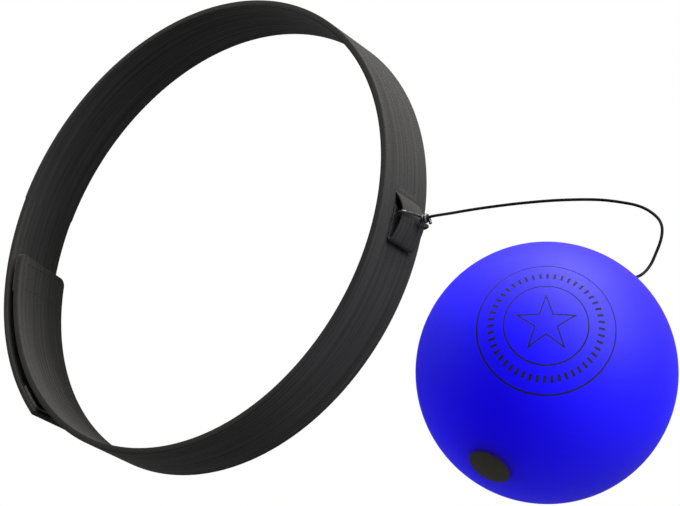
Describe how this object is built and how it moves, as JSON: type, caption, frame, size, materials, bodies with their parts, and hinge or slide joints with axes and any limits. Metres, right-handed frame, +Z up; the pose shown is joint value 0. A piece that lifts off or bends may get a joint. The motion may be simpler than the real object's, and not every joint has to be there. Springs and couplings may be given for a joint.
{
  "type": "boxing reflex ball",
  "caption": "Boxing reflex ball: a soft foam ball on a thin elastic cord, tied to a sewn tab on a stretch head strap that closes with hook tape.",
  "frame": {"origin": "centre of the bottom of the box round the strap and the ball, on the surface that both lie on", "axes": "+Z up from that surface and along the strap's width, -Y from the strap's centre to the cord tab, +X to the right of someone who looks along +Y"},
  "size_m": [0.158, 0.2491, 0.0645],
  "materials": {
    "strap": "matte black woven elastic, finely ribbed lengthwise",
    "hook_tape": "matte black hook tape",
    "tab": "matte black ribbed webbing",
    "cord": "thin black elastic cord with a slight sheen",
    "foam": "strong blue, satin skin of moulded foam",
    "washer": "plain grey plastic",
    "plug": "matte black plug"
  },
  "bodies": {
    "band": {"band_strap": "strap", "hook_patch_inner": "hook_tape", "cord_tab": "tab"},
    "tongue": {"band_tongue": "strap", "hook_patch_outer": "hook_tape"},
    "hitch": {"cord_hitch": "cord"},
    "tether": {"tether_cord": "cord", "cord_stopper": "cord"},
    "ball": {"foam_ball": "foam", "retaining_washer": "washer", "ball_plug": "plug"}
  },
  "joints": [
    {"name": "closure_peel", "type": "hinge", "parent": "band", "child": "tongue", "pos_m": [0.00977, 0.12448, 0.01], "axis": [0, 0, -1], "range_deg": [0, 75]},
    {"name": "tether_swing", "type": "hinge", "parent": "band", "child": "hitch", "pos_m": [0.00716, -0.02128, 0.0093], "axis": [0, 0, 1], "range_deg": [-50, 22]},
    {"name": "tether_lift", "type": "hinge", "parent": "hitch", "child": "tether", "pos_m": [0.00868, -0.02737, 0.0073], "axis": [-0.7603, 0.6496, 0], "range_deg": [-105, 85], "deforming": ["tether_cord"]},
    {"name": "ball_spin", "type": "hinge", "parent": "tether", "child": "ball", "pos_m": [-0.04676, -0.09226, 0.03225], "axis": [-0.9014, 0.065, 0.428], "continuous": true}
  ]
}
